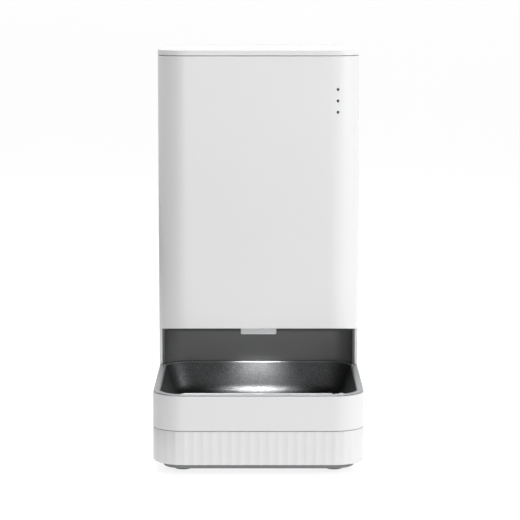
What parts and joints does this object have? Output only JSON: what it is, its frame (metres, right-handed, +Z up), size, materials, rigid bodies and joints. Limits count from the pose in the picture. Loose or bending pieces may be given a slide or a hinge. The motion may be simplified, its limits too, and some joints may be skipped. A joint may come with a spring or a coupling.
{
  "type": "automatic pet feeder",
  "caption": "Tower hopper that meters dry pet food through a motor-driven rotor and a chute into a lift-out steel bowl on a fluted base.",
  "frame": {"origin": "middle of the underside of the four feet", "axes": "+Z up, the front with the bowl faces -Y, +X is to the right of someone who looks at the front"},
  "size_m": [0.184, 0.314, 0.362],
  "materials": {
    "white_plastic": "satin",
    "steel_bowl": "polished",
    "dark_grey_plastic": "matt",
    "mid_grey_plastic": "satin",
    "base_grey_plastic": "matt",
    "foot_rubber": "matt",
    "silicone": "matt",
    "smoke_plastic": "clear tinted",
    "gear_plastic": "satin",
    "bright_steel": "bright",
    "brass": "turned",
    "circuit_board": "solder mask",
    "black_plastic": "matt",
    "desiccant_paper": "matt"
  },
  "bodies": {
    "root": {"base_screw_front_left": "bright_steel", "base_screw_front_right": "bright_steel", "base_screw_rear_left": "bright_steel", "base_screw_rear_right": "bright_steel", "base_skirt": "white_plastic", "bottom_plate": "base_grey_plastic", "bowl_tray": "white_plastic", "button_board": "circuit_board", "chassis_plate": "mid_grey_plastic", "dc_jack": "black_plastic", "dispenser_cup": "mid_grey_plastic", "drive_bracket": "mid_grey_plastic", "drive_motor": "bright_steel", "feed_switch": "black_plastic", "flap_pin": "bright_steel", "flap_spring": "bright_steel", "foot_front_left": "foot_rubber", "foot_front_right": "foot_rubber", "foot_rear_left": "foot_rubber", "foot_rear_right": "foot_rubber", "gear_pin_a": "bright_steel", "gear_pin_b": "bright_steel", "gearbox_case": "mid_grey_plastic", "gearbox_cover": "mid_grey_plastic", "hinge_pin_left": "bright_steel", "hinge_pin_right": "bright_steel", "hopper": "smoke_plastic", "indicator_board": "circuit_board", "indicator_lens_1": "smoke_plastic", "indicator_lens_2": "smoke_plastic", "indicator_lens_3": "smoke_plastic", "ir_emitter": "black_plastic", "ir_receiver": "black_plastic", "main_board": "circuit_board", "motor_lead": "black_plastic", "outer_shell": "white_plastic", "outlet_guard": "mid_grey_plastic", "outlet_nozzle": "mid_grey_plastic", "rear_cap": "white_plastic", "recess_liner": "dark_grey_plastic", "spindle_bush": "brass", "wifi_module": "bright_steel"},
    "lid": {"lid": "white_plastic", "lid_inner": "white_plastic", "lid_seal": "silicone", "desiccant_box": "white_plastic", "desiccant_bag": "desiccant_paper"},
    "desiccant_cap": {"desiccant_cap": "white_plastic"},
    "bowl": {"food_bowl": "steel_bowl"},
    "rotor": {"portion_rotor": "mid_grey_plastic", "agitator": "silicone", "drive_spindle": "bright_steel", "output_gear": "gear_plastic"},
    "idler_b": {"idler_gear_b": "gear_plastic"},
    "idler_a": {"idler_gear_a": "gear_plastic"},
    "motor_drive": {"motor_pinion": "brass", "motor_shaft": "bright_steel"},
    "flap": {"outlet_flap": "mid_grey_plastic"},
    "feed_button": {"feed_button": "white_plastic"}
  },
  "joints": [
    {"name": "lid_hinge", "type": "hinge", "parent": "root", "child": "lid", "pos_m": [0, 0.1403, 0.3593], "axis": [-1, 0, 0], "range_deg": [0, 95]},
    {"name": "desiccant_twist", "type": "hinge", "parent": "lid", "child": "desiccant_cap", "pos_m": [0, 0.05575, 0.3479], "axis": [0, 0, 1], "range_deg": [0, 30]},
    {"name": "bowl_lift", "type": "slide", "parent": "root", "child": "bowl", "axis": [0, 0, 1], "range_m": [0, 0.028]},
    {"name": "rotor_spin", "type": "hinge", "parent": "root", "child": "rotor", "pos_m": [0, 0.041, 0.133], "axis": [0, 0, 1], "continuous": true},
    {"name": "idler_b_spin", "type": "hinge", "parent": "root", "child": "idler_b", "pos_m": [0, 0.065, 0.112], "axis": [0, 0, 1], "continuous": true},
    {"name": "idler_a_spin", "type": "hinge", "parent": "root", "child": "idler_a", "pos_m": [0.01663, 0.0746, 0.107], "axis": [0, 0, 1], "continuous": true},
    {"name": "motor_spin", "type": "hinge", "parent": "root", "child": "motor_drive", "pos_m": [0.01663, 0.0938, 0.105], "axis": [0, 0, 1], "continuous": true},
    {"name": "flap_hinge", "type": "hinge", "parent": "root", "child": "flap", "pos_m": [0, 0.0079, 0.121], "axis": [1, 0, 0], "range_deg": [0, 50], "stiffness_Nm_per_rad": 0.001, "springref_deg": -34.38},
    {"name": "button_press", "type": "slide", "parent": "root", "child": "feed_button", "axis": [0, 0, -1], "range_m": [0, 0.0015], "stiffness_N_per_m": 300, "springref_m": -0.001}
  ],
  "couplings": [
    {"joint": "idler_b_spin", "follows": "rotor_spin", "ratio": -3},
    {"joint": "idler_a_spin", "follows": "rotor_spin", "ratio": 9},
    {"joint": "motor_spin", "follows": "rotor_spin", "ratio": -27}
  ]
}
